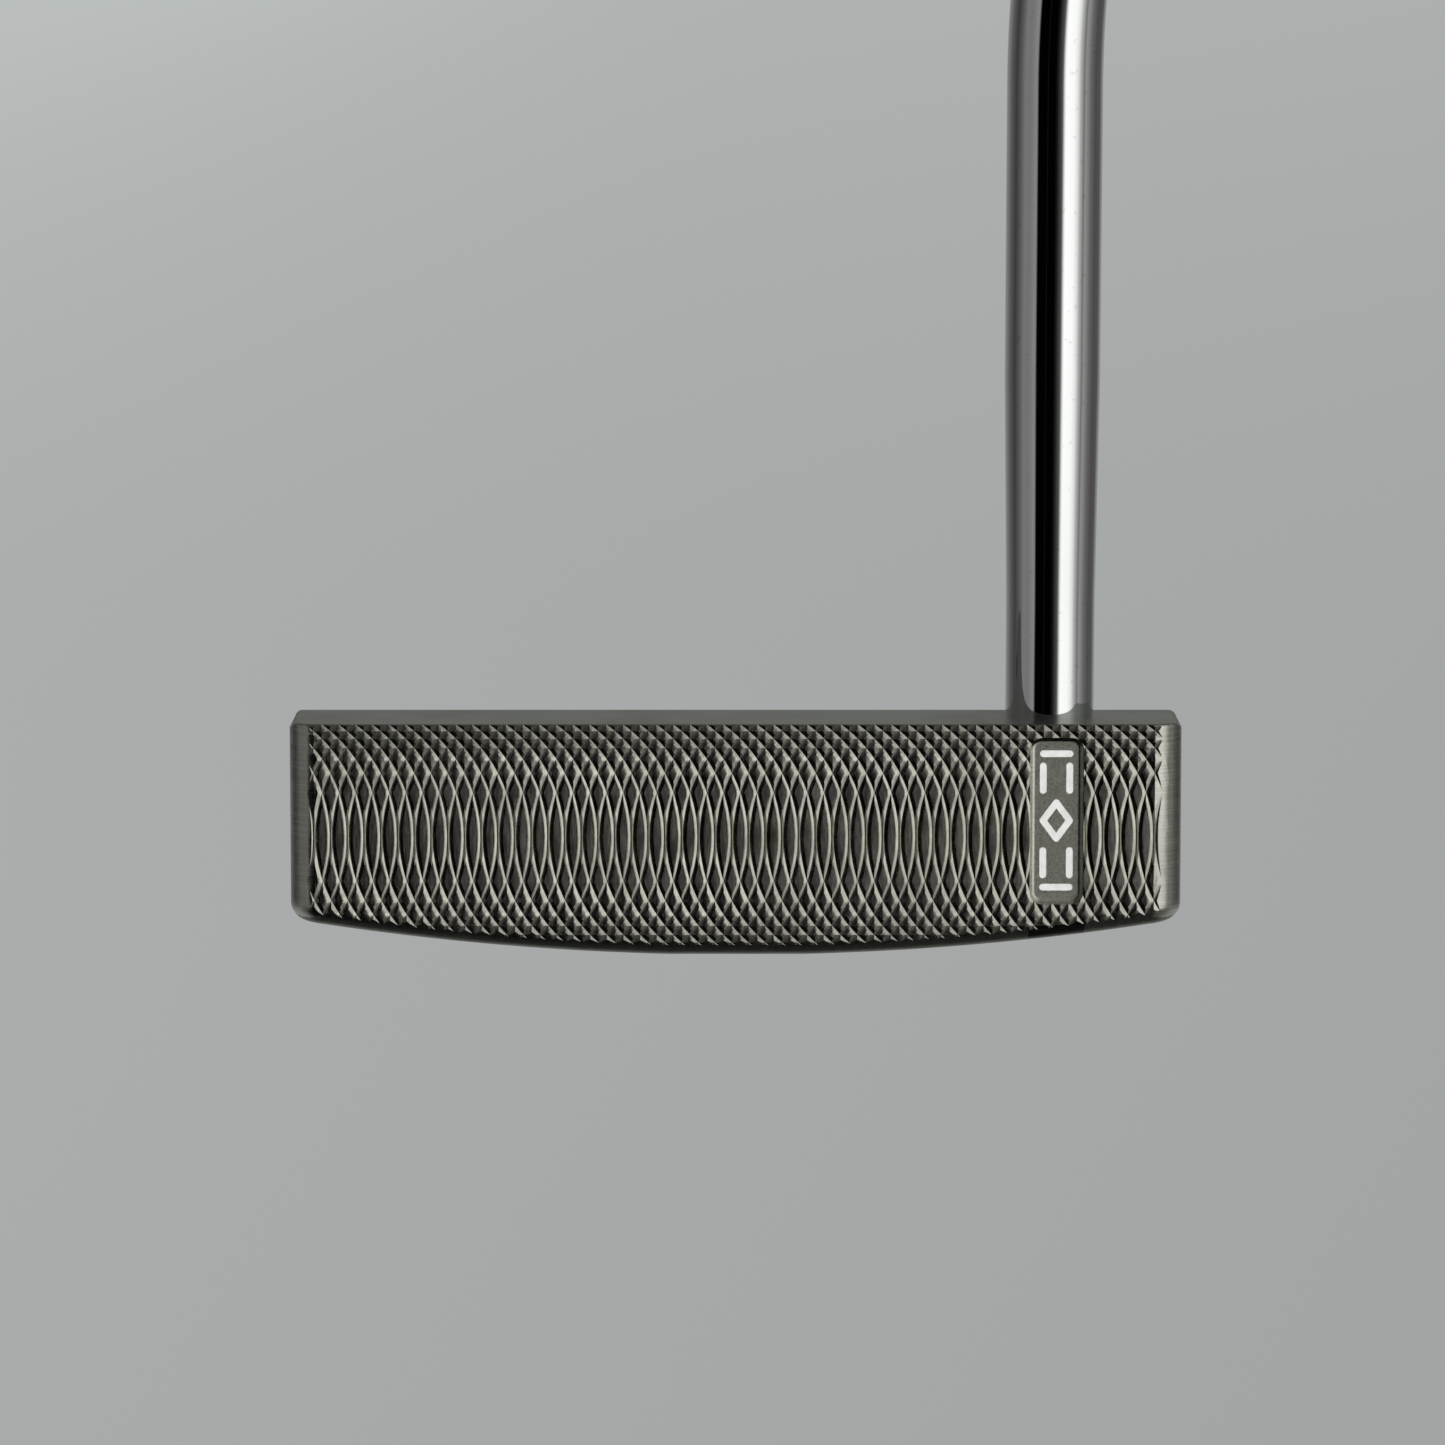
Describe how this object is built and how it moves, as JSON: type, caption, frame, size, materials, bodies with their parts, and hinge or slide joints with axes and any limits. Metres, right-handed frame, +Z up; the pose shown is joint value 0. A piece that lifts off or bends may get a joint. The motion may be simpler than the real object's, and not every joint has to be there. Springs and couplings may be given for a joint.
{
  "type": "blade putter",
  "caption": "Right-handed golf putter: milled steel head with a fly-cut face, rear cavity and sole weights, a double-bend plated steel shaft and a pistol grip.",
  "frame": {"origin": "middle of the small flat under the sole, on the ground under the head's centre", "axes": "+X along the face from toe to heel, the face looks along -Y, +Z up with the club soled at address"},
  "size_m": [0.3568, 0.0488, 0.8149],
  "materials": {
    "head_steel": "fly-cut face, satin milled deck, sides and sole",
    "mark_paint": "white paint fill",
    "weight_steel": "turned",
    "shaft_plating": "polished plating",
    "adhesive": "cured adhesive",
    "plug_plastic": "cork-coloured stopper",
    "band_film": "plain printed film",
    "tape_cloth": "paper-backed tape",
    "grip_foam": "closed-cell foam",
    "grip_rubber": "moulded, fine grain",
    "grip_paint": "white paint fill",
    "cap_plastic": "moulded"
  },
  "bodies": {
    "root": {"head_body": "head_steel", "badge_mark_fill": "mark_paint", "sight_line_fill": "mark_paint", "toe_weight": "weight_steel", "heel_weight": "weight_steel", "shaft": "shaft_plating", "shaft_bond": "adhesive", "tip_plug": "plug_plastic", "shaft_band": "band_film", "grip_tape": "tape_cloth", "grip_core": "grip_foam", "grip_skin": "grip_rubber", "grip_mark_fill": "grip_paint", "grip_cap": "cap_plastic", "grip_collar": "grip_rubber"}
  },
  "joints": []
}
